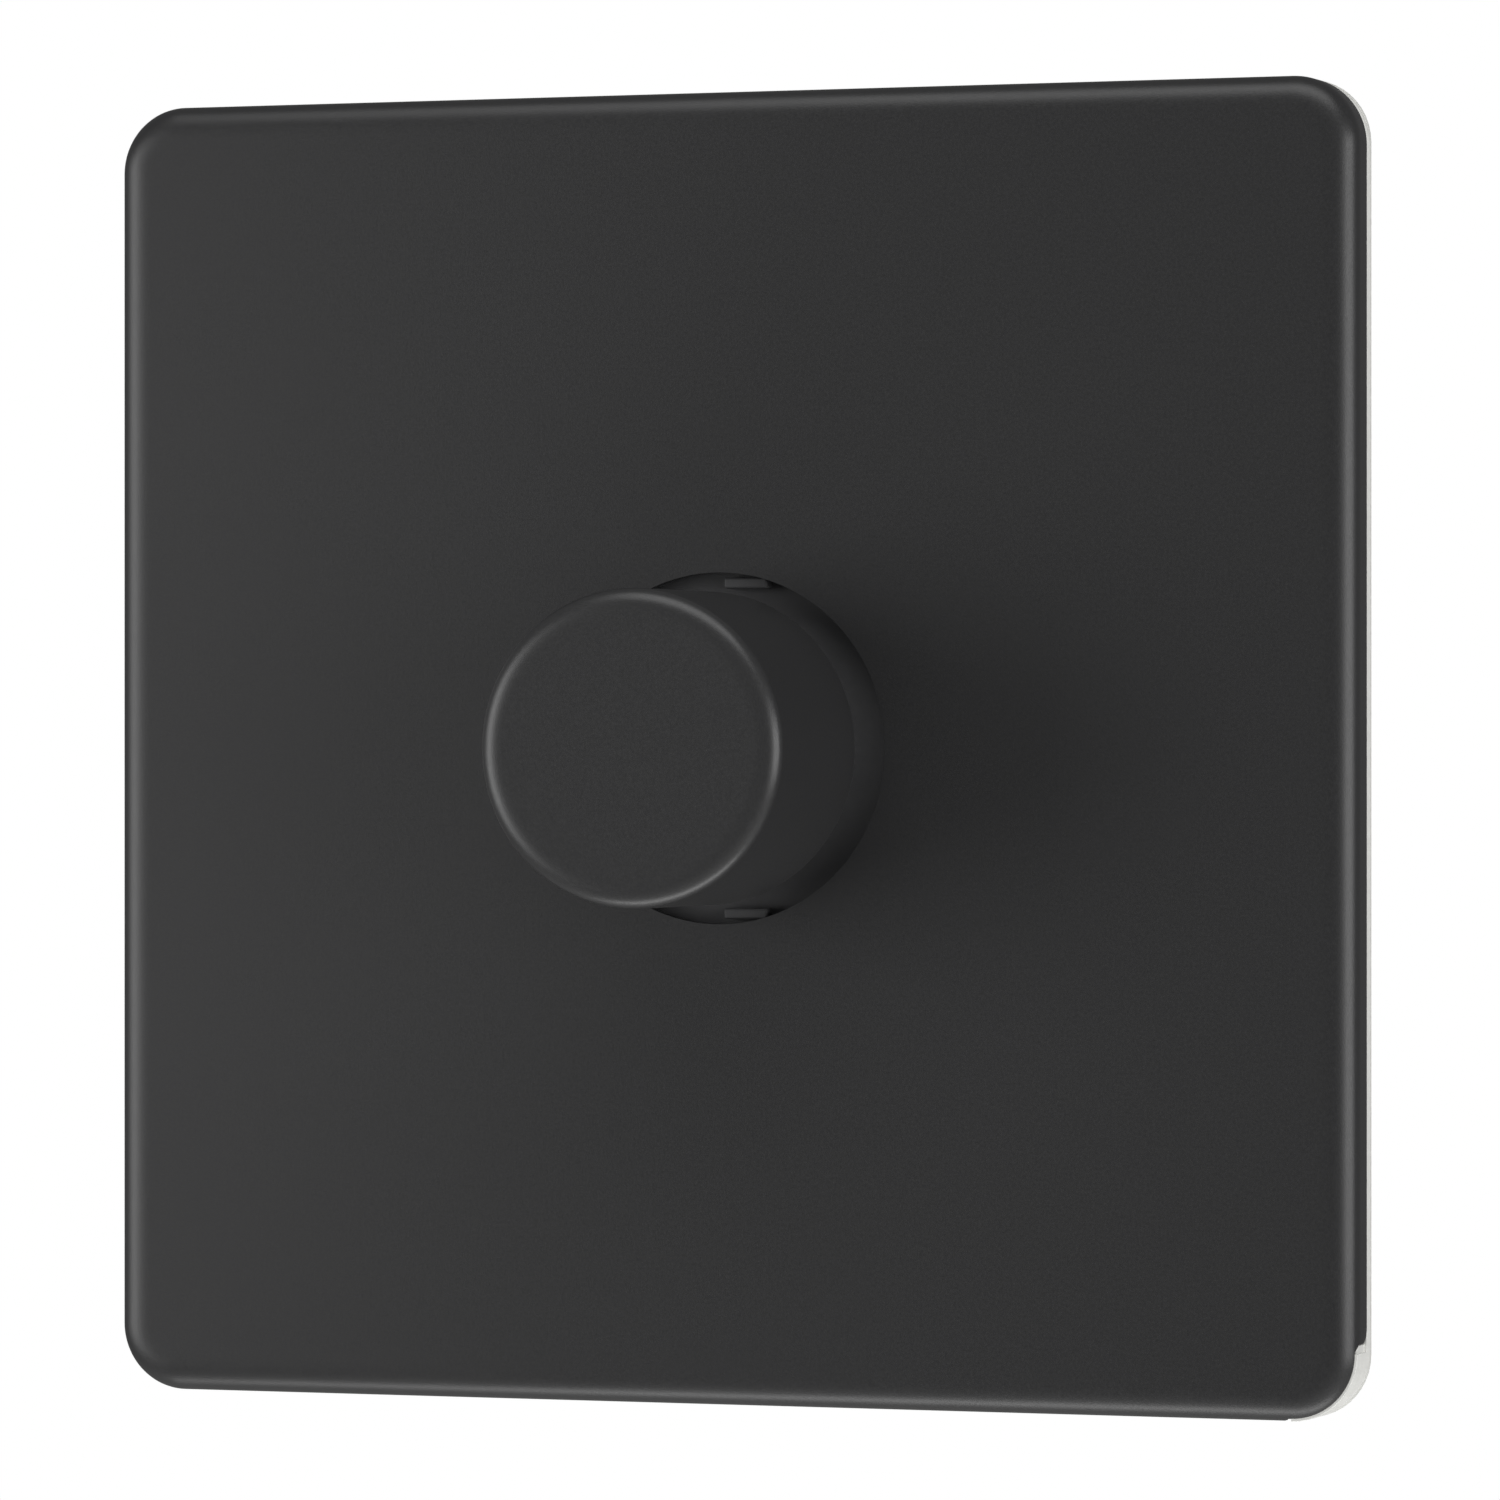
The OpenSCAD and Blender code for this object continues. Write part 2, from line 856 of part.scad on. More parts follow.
module wire_pad_right() {
    color("#d3b56a")
    at_terminal(1)
        clamp_pad();
}

module clamp_screw_left() {
    color("#b9bcc0")
    at_terminal(-1)
        clamp_screw();
}

module clamp_screw_middle() {
    color("#b9bcc0")
    at_terminal(0)
        clamp_screw();
}

module clamp_screw_right() {
    color("#b9bcc0")
    at_terminal(1)
        clamp_screw();
}

// Puts a child at the earth terminal, with its wire entry along X
module at_earth() {
    translate([earth_at.x, earth_y, earth_at.y])
        rotate([0, 90, 0])
            children();
}

module earth_terminal() {
    color("#c9a959")
    at_earth()
        pillar_cage();
}

module earth_pad() {
    color("#d3b56a")
    at_earth()
        clamp_pad();
}

module earth_screw() {
    color("#b9bcc0")
    at_earth()
        clamp_screw();
}

// Turned metal shell, open at the rear
module knob_cap() {
    inner_r = knob_r - knob_wall;
    edge_at = knob_edge_r - knob_front;
    color("#232427")
    turned()
        difference() {
            union() {
                translate([0, edge_at])
                    square([knob_r, knob_front - knob_edge_r - knob_rear]);
                translate([0, -knob_front])
                    square([knob_r - knob_edge_r, knob_edge_r]);
                intersection() {
                    translate([knob_r - knob_edge_r, edge_at])
                        circle(knob_edge_r);
                    translate([knob_r - knob_edge_r, -knob_front])
                        square(knob_edge_r);
                }
            }
            translate([0, knob_face_t - knob_front])
                square([inner_r, knob_front]);
        }
}

// Moulded core pressed into the shell, with the D-shaped socket for the shaft
module knob_core() {
    front = knob_face_t - knob_front;
    socket_r = shaft_r + 0.03;
    rim_r = knob_r - knob_wall;
    color("#3a3b3e")
    difference() {
        union() {
            rod(0, 0, front, -knob_rear - 0.5, 4.6);
            rod(0, 0, front, front + 1.6, rim_r);
            for (i = [0:5])
                rotate([0, 60 * i, 0])
                    block([-0.6, front, 4], [0.6, -12.4, rim_r - 0.1]);
        }
        difference() {
            rod(0, 0, front - 1, 0, socket_r);
            block([-4, front - 2, shaft_flat + 0.03], [4, 1, 5]);
        }
    }
}

// Split spring ring that tightens the socket on the shaft
module knob_clip() {
    color("#b0b4b8")
    difference() {
        slab(-11.6, -8.6)
            difference() {
                circle(5);
                circle(4.6);
            }
        block([-1.2, -13, -6], [1.2, -7, 0]);
    }
}

front_plate();
clip_frame();
gasket();
plate_springs();
mounting_yoke();
fixing_screws();
earth_terminal();
earth_pad();
earth_screw();
heat_spreader();
module_lid();
module_housing();
housing_screws();
circuit_board();
trim_ring();
threaded_bush();
bush_nut();
lock_washer();
pot_case();
track_wafer();
carbon_track();
wiper_rotor();
wiper_contacts();
pot_pins();
control_shaft();
shaft_circlip();
push_plunger();
return_spring();
switch_case();
moving_contact();
fixed_contacts();
contact_pivot();
transistor_tabs();
transistor_bodies();
transistor_legs();
insulator_pads();
clamp_springs();
choke_core();
choke_winding();
film_capacitor();
can_capacitor();
fuse();
varistor();
controller_chip();
small_resistors();
trimmer_body();
trimmer_rotor();
terminal_cages();
wire_pad_left();
wire_pad_middle();
wire_pad_right();
clamp_screw_left();
clamp_screw_middle();
clamp_screw_right();
knob_cap();
knob_core();
knob_clip();
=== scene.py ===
import math

import bmesh
import bpy
from mathutils import Matrix, Vector


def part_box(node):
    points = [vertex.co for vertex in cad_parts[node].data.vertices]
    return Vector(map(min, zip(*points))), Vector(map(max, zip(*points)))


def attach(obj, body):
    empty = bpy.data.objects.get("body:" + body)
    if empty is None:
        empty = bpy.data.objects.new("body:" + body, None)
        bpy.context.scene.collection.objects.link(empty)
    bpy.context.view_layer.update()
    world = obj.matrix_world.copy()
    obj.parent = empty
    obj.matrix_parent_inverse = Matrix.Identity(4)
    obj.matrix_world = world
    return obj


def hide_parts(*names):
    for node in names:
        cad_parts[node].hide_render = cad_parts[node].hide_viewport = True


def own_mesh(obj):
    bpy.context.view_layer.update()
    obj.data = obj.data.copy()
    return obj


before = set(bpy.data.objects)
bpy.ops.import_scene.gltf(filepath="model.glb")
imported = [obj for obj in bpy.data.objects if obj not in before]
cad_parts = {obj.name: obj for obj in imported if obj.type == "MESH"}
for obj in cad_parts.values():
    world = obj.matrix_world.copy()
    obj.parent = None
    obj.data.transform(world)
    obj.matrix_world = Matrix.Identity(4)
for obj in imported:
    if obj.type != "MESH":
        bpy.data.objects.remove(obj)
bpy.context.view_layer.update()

# Studio. The camera looks level at the plate from a little to the right, with a long lens.
# Soft panels stand to the left, the right, above and below, before a white backdrop and over a pale floor.
MM = 0.001
camera_place = Vector((183.25, -507.0, -0.105)) * MM
camera_aim = Vector((-0.3389, 0.9408, 0))
room_glow = 0.16
backdrop_glow = 1.0
camera_data = bpy.data.cameras.new("camera")
camera_data.sensor_width = 36
camera_data.lens = 196.46
camera_data.clip_start = 0.05
camera_data.clip_end = 50
camera = bpy.data.objects.new("camera", camera_data)
bpy.context.scene.collection.objects.link(camera)
camera.location = camera_place
camera.rotation_euler = camera_aim.to_track_quat("-Z", "Y").to_euler()
bpy.context.scene.camera = camera
bpy.context.scene.view_settings.view_transform = "Standard"
bpy.context.scene.view_settings.look = "None"

room = bpy.data.worlds.new("room")
bpy.context.scene.world = room
room.use_nodes = True
room_nodes = room.node_tree.nodes
room_links = room.node_tree.links
room_nodes.clear()
room_out = room_nodes.new("ShaderNodeOutputWorld")
room_mix = room_nodes.new("ShaderNodeMixShader")
room_light = room_nodes.new("ShaderNodeBackground")
room_light.inputs["Color"].default_value = (1, 1, 1, 1)
room_light.inputs["Strength"].default_value = room_glow
room_backdrop = room_nodes.new("ShaderNodeBackground")
room_backdrop.inputs["Color"].default_value = (1, 1, 1, 1)
room_backdrop.inputs["Strength"].default_value = backdrop_glow
room_rays = room_nodes.new("ShaderNodeLightPath")
room_links.new(room_rays.outputs["Is Camera Ray"], room_mix.inputs[0])
room_links.new(room_light.outputs[0], room_mix.inputs[1])
room_links.new(room_backdrop.outputs[0], room_mix.inputs[2])
room_links.new(room_mix.outputs[0], room_out.inputs["Surface"])


def soft_panel(name, toward, distance, width, height, power):
    """A rectangular soft light that stands off in one direction and faces the plate."""
    data = bpy.data.lights.new(name, "AREA")
    data.shape = "RECTANGLE"
    data.size = width
    data.size_y = height
    data.energy = power
    lamp = bpy.data.objects.new(name, data)
    bpy.context.scene.collection.objects.link(lamp)
    lamp.location = Vector(toward).normalized() * distance
    lamp.rotation_euler = Vector(toward).to_track_quat("Z", "Y").to_euler()
    lamp.visible_camera = False


soft_panel("panel_left", (-0.958, -0.287, 0), 0.45, 0.20, 0.30, 0.10)
soft_panel("panel_left_middle", (-0.85, -0.53, 0), 0.45, 0.20, 0.30, 0.46)
soft_panel("panel_left_front", (-0.75, -0.66, 0), 0.45, 0.20, 0.30, 0.34)
soft_panel("panel_right_side", (0.996, -0.089, 0), 0.60, 0.20, 0.30, 0.77)
soft_panel("panel_right", (0.9, -0.43, 0), 0.60, 0.20, 0.30, 0.87)
soft_panel("panel_right_front", (0.75, -0.66, 0), 0.60, 0.20, 0.30, 0.23)
soft_panel("panel_top", (0.05, -0.34, 0.94), 0.60, 0.62, 0.20, 0.80)
soft_panel("panel_top_front", (0.10, -0.60, 0.79), 0.60, 0.66, 0.20, 1.05)
soft_panel("panel_bottom", (0.05, -0.22, -0.97), 0.29, 0.34, 0.09, 0.42)


def wire(material, kind, **sockets):
    """Adds a node to a material, with the given values set on its inputs."""
    node = material.node_tree.nodes.new(kind)
    for key, value in sockets.items():
        node.inputs[key.replace("_", " ")].default_value = value
    return node


def finish(name, light, dark, grain, rough, bump=0.0, metal=0.0, stretch=(1, 1, 1), coat=0.0, blotch=0.0):
    """A finish with two colours in its grain, roughness that follows it, and a fine relief."""
    material = bpy.data.materials.new(name)
    material.use_nodes = True
    shader = material.node_tree.nodes["Principled BSDF"]
    join = material.node_tree.links.new
    shader.inputs["Metallic"].default_value = metal
    shader.inputs["Coat Weight"].default_value = coat
    where = material.node_tree.nodes.new("ShaderNodeTexCoord")
    turned = wire(material, "ShaderNodeMapping", Scale=stretch)
    join(where.outputs["Object"], turned.inputs["Vector"])
    specks = wire(material, "ShaderNodeTexNoise", Scale=grain, Detail=4.0, Roughness=0.6)
    join(turned.outputs["Vector"], specks.inputs["Vector"])
    colours = material.node_tree.nodes.new("ShaderNodeValToRGB")
    colours.color_ramp.elements[0].position = 0.3
    colours.color_ramp.elements[0].color = (*dark, 1)
    colours.color_ramp.elements[1].position = 0.7
    colours.color_ramp.elements[1].color = (*light, 1)
    join(specks.outputs["Fac"], colours.inputs["Fac"])
    shade = colours.outputs["Color"]
    if blotch:
        clouds = wire(material, "ShaderNodeTexNoise", Scale=grain / 40, Detail=3.0)
        join(where.outputs["Object"], clouds.inputs["Vector"])
        level = wire(material, "ShaderNodeMapRange", From_Min=0.3, From_Max=0.7,
                     To_Min=1 - blotch, To_Max=1 + blotch)
        join(clouds.outputs["Fac"], level.inputs["Value"])
        tint = material.node_tree.nodes.new("ShaderNodeVectorMath")
        tint.operation = "SCALE"
        join(shade, tint.inputs[0])
        join(level.outputs["Result"], tint.inputs["Scale"])
        shade = tint.outputs["Vector"]
    join(shade, shader.inputs["Base Color"])
    gloss = wire(material, "ShaderNodeMapRange", From_Min=0.3, From_Max=0.7,
                 To_Min=rough[0], To_Max=rough[1])
    join(specks.outputs["Fac"], gloss.inputs["Value"])
    join(gloss.outputs["Result"], shader.inputs["Roughness"])
    if bump:
        relief = wire(material, "ShaderNodeTexNoise", Scale=grain * 1.7, Detail=2.0)
        join(turned.outputs["Vector"], relief.inputs["Vector"])
        height = wire(material, "ShaderNodeBump", Strength=1.0, Distance=bump)
        join(relief.outputs["Fac"], height.inputs["Height"])
        join(height.outputs["Normal"], shader.inputs["Normal"])
    return material


# Floor. A plain pale sheet well below the plate, only there to catch light and shadow.
floor_z = -0.32
floor_radius = 1.2
floor_mesh = bmesh.new()
bmesh.ops.create_circle(floor_mesh, cap_ends=True, segments=96, radius=floor_radius,
                        matrix=Matrix.Translation((0, 0, floor_z)))
floor_data = bpy.data.meshes.new("floor")
floor_mesh.to_mesh(floor_data)
floor_mesh.free()
floor = bpy.data.objects.new("floor", floor_data)
bpy.context.scene.collection.objects.link(floor)
floor_data.materials.append(finish("floor_card", (0.80, 0.80, 0.79), (0.77, 0.77, 0.76), 400, (0.6, 0.7)))


# Front plate. One sheet of steel, 0.8 mm thick, with its four edges folded back over a round die,
# a hole for the knob and one corner of the fold cut away for a screwdriver. Powder coated matt black.
def block(bm, low, high):
    """A box from its lowest to its highest corner."""
    low, high = Vector(low), Vector(high)
    size = Matrix.Diagonal((*(high - low), 1))
    bmesh.ops.create_cube(bm, size=1, matrix=Matrix.Translation((low + high) / 2) @ size)


def round_off(bm, edges, radius, segments):
    """Rounds the given edges."""
    bmesh.ops.bevel(bm, geom=edges, offset=radius, offset_type="OFFSET", segments=segments, profile=0.5,
                    affect="EDGES", clamp_overlap=True, material=-1)


def soft_roll(radius, ease, steps):
    """An outline that leaves a flat face gently and turns square, as (out, deep) points."""
    turn, out, deep = 0.0, 0.0, 0.0
    points = [(0.0, 0.0)]
    length = ease + radius * (math.pi / 2 - ease / (2 * radius))
    fine = 40
    for i in range(1, steps * fine + 1):
        along = length * (i - 0.5) / (steps * fine)
        turn += length / (steps * fine) / radius * min(along / ease, 1)
        out += math.cos(turn) * length / (steps * fine)
        deep += math.sin(turn) * length / (steps * fine)
        if i % fine == 0:
            points.append((out, deep))
    return points


def swept_round(bm, outline, reach_x, reach_z, steps=24, closed=False):
    """Sweeps an outline of (distance, y) round a rectangle with rounded corners."""
    verts = [bm.verts.new((reach_x + out, y, -reach_z)) for out, y in outline]
    last = verts + [bm.edges.new(pair) for pair in zip(verts, verts[1:] + verts[:closed])]
    corner = Vector((reach_x, 0, reach_z))
    run = Vector((0, 0, 2 * reach_z))
    next_run = Vector((-2 * reach_x, 0, 0))
    for _ in range(4):
        edges = [g for g in last if isinstance(g, bmesh.types.BMEdge)]
        grown = bmesh.ops.extrude_edge_only(bm, edges=edges)["geom"]
        ends = [g for g in grown if isinstance(g, bmesh.types.BMVert)]
        bmesh.ops.translate(bm, verts=ends, vec=run)
        edges = [g for g in grown if isinstance(g, bmesh.types.BMEdge)]
        swung = bmesh.ops.spin(bm, geom=ends + edges, cent=corner, axis=(0, -1, 0), dvec=(0, 0, 0),
                               angle=math.pi / 2, steps=steps, use_merge=False,
                               use_normal_flip=False, use_duplicate=False)
        last = swung["geom_last"]
        corner = corner + next_run
        run, next_run = next_run, -run
    bmesh.ops.remove_doubles(bm, verts=bm.verts, dist=1e-6)


def slice_at(bm, point, normal, test):
    """Cuts new edges where a plane crosses the faces that the test picks."""
    faces = [f for f in bm.faces if test(f.calc_center_median())]
    geom = list({v for f in faces for v in f.verts} | {e for f in faces for e in f.edges} | set(faces))
    bmesh.ops.bisect_plane(bm, geom=geom, dist=1e-8, plane_co=point, plane_no=normal)


def show(name, bm, material, body, slot, *stands_for, crease=35, wall=0.0, edge=0.0):
    """Turns a bmesh into a finished piece that rides on a body and may stand for a CAD node."""
    mesh = bpy.data.meshes.new(name)
    bm.to_mesh(mesh)
    bm.free()
    mesh.shade_smooth()
    mesh.set_sharp_from_angle(angle=math.radians(crease))
    mesh.materials.append(material)
    piece = bpy.data.objects.new(name, mesh)
    bpy.context.scene.collection.objects.link(piece)
    if wall:
        thick = piece.modifiers.new("wall", "SOLIDIFY")
        thick.thickness = wall
        thick.offset = -1
        thick.use_even_offset = True
    if edge:
        ease = piece.modifiers.new("eased_edges", "BEVEL")
        ease.width = edge
        ease.segments = 2
        ease.limit_method = "ANGLE"
        ease.angle_limit = math.radians(50)
    even = piece.modifiers.new("even_normals", "WEIGHTED_NORMAL")
    even.keep_sharp = True
    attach(piece, body)
    if stands_for:
        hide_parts(*stands_for)
    return piece


plate_low, plate_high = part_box("front_plate")
sheet = 0.8 * MM
corner_radius = 4.4 * MM
fold_radius = 1.5 * MM
fold_ease = 2.1 * MM
fold_steps = 18
margin = 0.05 * MM
hole_radius = 11.5 * MM
hole_steps = 160
cut_from = 38 * MM
plate_back = plate_low.y + sheet
touching = 1e-7

fold = soft_roll(fold_radius, fold_ease, fold_steps)
fold_width, fold_depth = fold[-1]
start = corner_radius - fold_width
outline = [(start - margin, plate_low.y)] + [(start + out, plate_low.y + deep) for out, deep in fold]
outline += [(corner_radius, plate_low.y + fold_depth + margin), (corner_radius, plate_high.y)]
bm = bmesh.new()
swept_round(bm, outline, plate_high.x - corner_radius, plate_high.z - corner_radius)
outer_loop = [e for e in bm.edges
              if e.is_boundary and all(abs(v.co.y - plate_low.y) < touching for v in e.verts)]
facing = Matrix.Translation((0, plate_low.y, 0)) @ Matrix.Rotation(math.pi / 2, 4, "X")
hole = bmesh.ops.create_circle(bm, segments=hole_steps, radius=hole_radius, matrix=facing)
hole_loop = [e for e in bm.edges if e.verts[0] in hole["verts"] and e.verts[1] in hole["verts"]]
bmesh.ops.triangle_fill(bm, edges=outer_loop + hole_loop, use_beauty=True, use_dissolve=False,
                        normal=(0, -1, 0))

# The cut-away corner of the fold: the rim ends there in a rounded tip, with a small fillet at its root.
end_radius = 1.0 * MM
cut_y = plate_back + 0.1 * MM
root = 0.45 * MM
eased_y = plate_high.y - end_radius
eased_at = cut_from - end_radius


def near_cut(at):
    """Whether a point is on the fold round the lower right corner."""
    return at.x > 30 * MM and -at.z > 30 * MM and at.y > plate_low.y + margin


for side in ("right", "bottom"):
    def across(y, along):
        """A vector from its depth and its way along this side."""
        return Vector((0, y, -along)) if side == "right" else Vector((along, y, 0))

    def on_side(at):
        """Whether a point near the cut lies on this side of the corner."""
        return near_cut(at) and (at.x > -at.z) == (side == "right")

    slice_at(bm, across(0, cut_from - 3 * MM), across(0, 1), lambda at: at.y > plate_low.y + touching)
    slice_at(bm, across(cut_y, 0), (0, 1, 0), on_side)
    slice_at(bm, across(0, cut_from), across(0, 1), on_side)
    slice_at(bm, across(eased_y, 0), (0, 1, 0), on_side)
    slice_at(bm, across(0, eased_at), across(0, 1), on_side)
    slice_at(bm, across(cut_y + root, cut_from), across(1, 1), on_side)
    for turn in (22.5, 45, 67.5):
        out = across(math.cos(math.radians(turn)), math.sin(math.radians(turn)))
        slice_at(bm, across(eased_y, eased_at) + out * end_radius, out, on_side)
    gone = []
    for face in bm.faces:
        at = face.calc_center_median()
        if not on_side(at):
            continue
        reach = -at.z if side == "right" else at.x
        in_root = (at.y - cut_y) + (reach - cut_from) < root
        past_end = reach > cut_from and at.y > cut_y and not in_root
        past_tip = math.hypot(reach - eased_at, at.y - eased_y) > end_radius
        if past_end or reach > eased_at and at.y > eased_y and past_tip:
            gone.append(face)
    bmesh.ops.delete(bm, geom=gone, context="FACES")

bmesh.ops.recalc_face_normals(bm, faces=bm.faces)
if sum(f.normal.y * f.calc_area() for f in bm.faces) > 0:
    bmesh.ops.reverse_faces(bm, faces=bm.faces)
powder_coat = finish("powder_coat", (0.0228, 0.0228, 0.0235), (0.0188, 0.0188, 0.0195), 5200, (0.34, 0.42),
                     bump=0.006 * MM)
show("front_plate_folded", bm, powder_coat, "plate", "plate_coat", "front_plate", wall=sheet, edge=0.08 * MM)


# Knob. A die-cast cap with a flat face that rolls over softly into a straight skirt,
# coated like the plate and pressed over a black moulded core that grips the shaft.
def spun(bm, profile, steps=128):
    """Turns an outline of (radius, y) pairs, in millimetres, about the Y axis."""
    points = [bm.verts.new((r * MM, y * MM, 0)) for r, y in profile]
    lines = [bm.edges.new(pair) for pair in zip(points, points[1:])]
    bmesh.ops.spin(bm, geom=points + lines, cent=(0, 0, 0), axis=(0, 1, 0), dvec=(0, 0, 0),
                   angle=2 * math.pi, steps=steps, use_merge=True,
                   use_normal_flip=False, use_duplicate=False)
    bmesh.ops.remove_doubles(bm, verts=bm.verts, dist=1e-7)
    bmesh.ops.recalc_face_normals(bm, faces=bm.faces)


def arc(r, y, radius, start, end, count=6):
    """Points (r, y) along an arc, from a start angle to an end angle in degrees."""
    turns = [math.radians(start + (end - start) * i / count) for i in range(count + 1)]
    return [(r + radius * math.cos(t), y + radius * math.sin(t)) for t in turns]


knob_low, knob_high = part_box("knob_cap")
knob_radius = knob_high.x / MM
knob_face = knob_low.y / MM
rim_radius = 0.9 * MM
rim_ease = 1.9 * MM
rim_steps = 20
rim = [(out / MM, deep / MM) for out, deep in soft_roll(rim_radius, rim_ease, rim_steps)]
rim_start = knob_radius - rim[-1][0]
skirt_end = [(knob_radius, -6.7)] + arc(knob_radius - 0.25, -6.65, 0.25, 0, 90, 4)
bore = [(9.0, -6.4), (8.8, -6.6), (8.8, -19.4), (8.6, -19.6), (0, -19.6)]
bm = bmesh.new()
spun(bm, [(0, knob_face), (3, knob_face)] + [(rim_start + out, knob_face + deep) for out, deep in rim]
     + skirt_end + bore)
knob_coat = finish("knob_coat", (0.0285, 0.0285, 0.0292), (0.0245, 0.0245, 0.0252), 5200, (0.30, 0.38),
                   bump=0.005 * MM)
show("knob_cap_coated", bm, knob_coat, "knob", "knob_coat", "knob_cap")


# Knob core and clip. The core is a black ribbed moulding with a D-shaped socket for the shaft.
# A split ring of spring steel round the socket keeps it tight when the knob is pulled off and refitted.
def eased(node, radius, segments=2):
    """A copy of a CAD node, merged to clean faces, with its sharp edges eased."""
    crease = 30
    bm = bmesh.new()
    bm.from_mesh(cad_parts[node].data)
    bmesh.ops.remove_doubles(bm, verts=bm.verts, dist=2e-6)
    bmesh.ops.dissolve_limit(bm, angle_limit=math.radians(0.5), verts=bm.verts, edges=bm.edges,
                             use_dissolve_boundaries=False, delimit={"NORMAL"})
    sharp = [e for e in bm.edges if len(e.link_faces) == 2 and e.calc_face_angle() > math.radians(crease)]
    round_off(bm, sharp, radius, segments)
    return bm


def show_node(name, node, radius, material, body, slot, segments=2):
    """Shows a CAD node as a finished piece, with its edges eased by a radius in millimetres."""
    show(name, eased(node, radius * MM, segments), material, body, slot, node)


black_moulding = finish("black_moulding", (0.030, 0.030, 0.032), (0.023, 0.023, 0.025), 2600, (0.38, 0.50),
                        bump=0.004 * MM)
spring_steel = finish("spring_steel", (0.60, 0.61, 0.63), (0.46, 0.47, 0.49), 1800, (0.16, 0.30), metal=1.0,
                      stretch=(1, 0.08, 1), blotch=0.1)
show_node("knob_core_moulded", "knob_core", 0.12, black_moulding, "knob", "black_plastic")
show_node("knob_clip_ring", "knob_clip", 0.06, spring_steel, "knob", "spring_steel")


# Clip frame. A pale moulded frame behind the plate: its flange shows as a thin line round the edge,
# and its low wall and four leaf springs hold the folded rim. Small blocks on both sides of the
# cut-away corner reach out to the rim ends and make the moulded line there.
moulded_pale = finish("moulded_pale", (0.82, 0.82, 0.79), (0.78, 0.78, 0.75), 1500, (0.40, 0.50),
                      bump=0.003 * MM)
bm = eased("clip_frame", 0.08 * MM)
block_front, block_back = -3.3, -1.25
for inner, outer, first, last in ((41.7, 42.85, 38.1, 38.75), (40.9, 42.1, 36.9, 38.6)):
    block(bm, Vector((inner, block_front, -last)) * MM, Vector((outer, block_back, -first)) * MM)
    block(bm, Vector((first, block_front, -outer)) * MM, Vector((last, block_back, -inner)) * MM)
show("clip_frame_moulded", bm, moulded_pale, "root", "pale_plastic", "clip_frame")
show_node("plate_springs_bent", "plate_springs", 0.05, spring_steel, "root", "spring_steel")


# Gasket. Closed-cell foam, die cut, stuck to the back of the frame where it meets the wall.
# It is spread a little, so that its edge lies flush with the frame.
foam = finish("gasket_foam", (0.72, 0.72, 0.69), (0.60, 0.60, 0.57), 3500, (0.75, 0.9), bump=0.04 * MM)
gasket_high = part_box("gasket")[1]
flush = (plate_high.x - margin) / gasket_high.x
bm = eased("gasket", 0.05 * MM)
bmesh.ops.scale(bm, vec=(flush, 1, flush), verts=bm.verts)
show("gasket_die_cut", bm, foam, "root", "gasket_foam", "gasket")


# Mounting yoke. A pressed strip of zinc-plated steel with levelling slots for the box screws,
# a hole for the bush and a tab bent back for the earth terminal.
zinc_steel = finish("zinc_steel", (0.66, 0.67, 0.68), (0.50, 0.51, 0.53), 900, (0.24, 0.42),
                    bump=0.002 * MM, metal=1.0, stretch=(0.15, 1, 1), blotch=0.12)
show_node("mounting_yoke_pressed", "mounting_yoke", 0.12, zinc_steel, "root", "zinc_steel")


# Box screws. Two M3.5 pan-head screws, yellow passivated, with a plain neck that keeps them in the yoke
# and a rolled thread that goes into the lugs of the wall box.
def add_part(bm, part):
    """Moves everything in one bmesh into another."""
    mesh = bpy.data.meshes.new("part")
    part.to_mesh(mesh)
    part.free()
    bm.from_mesh(mesh)
    bpy.data.meshes.remove(mesh)


def cut_square(bm, at, way):
    """Cuts everything away past a depth in millimetres."""
    geom = list(bm.verts) + list(bm.edges) + list(bm.faces)
    bmesh.ops.bisect_plane(bm, geom=geom, dist=1e-8, plane_co=(0, at * MM, 0), plane_no=(0, way, 0),
                           clear_outer=True)


def thread(bm, start, end, crest, pitch, x=0.0, z=0.0, steps=20):
    """A rolled thread along Y, as one closed helical surface with flat ends, in millimetres."""
    root = crest - 0.62 * pitch
    outline = ((root, 0), (root, 0.08), (crest, 0.42), (crest, 0.58), (root, 0.92), (root, 1))
    part = bmesh.new()
    points = [part.verts.new((r * MM, (start + (at - 1) * pitch) * MM, 0)) for r, at in outline]
    lines = [part.edges.new(pair) for pair in zip(points, points[1:])]
    turns = math.ceil((end - start) / pitch) + 2
    bmesh.ops.spin(part, geom=points + lines, cent=(0, 0, 0), axis=(0, 1, 0), dvec=(0, pitch / steps * MM, 0),
                   angle=2 * math.pi * turns, steps=steps * turns, use_merge=False,
                   use_normal_flip=False, use_duplicate=False)
    bmesh.ops.remove_doubles(part, verts=part.verts, dist=1e-6)
    for at, way in ((start, -1), (end, 1)):
        cut_square(part, at, way)
        rim = [e for e in part.edges
               if e.is_boundary and all(abs(v.co.y - at * MM) < touching for v in e.verts)]
        bmesh.ops.edgeloop_fill(part, edges=rim)
    bmesh.ops.recalc_face_normals(part, faces=part.faces)
    bmesh.ops.translate(part, verts=part.verts, vec=(x * MM, 0, z * MM))
    add_part(bm, part)


def cut_back(bm, at, way):
    """Cuts a piece square to Y and closes the cut, so a threaded length can take over."""
    cut_square(bm, at, way)
    bmesh.ops.holes_fill(bm, edges=[e for e in bm.edges if e.is_boundary], sides=0)


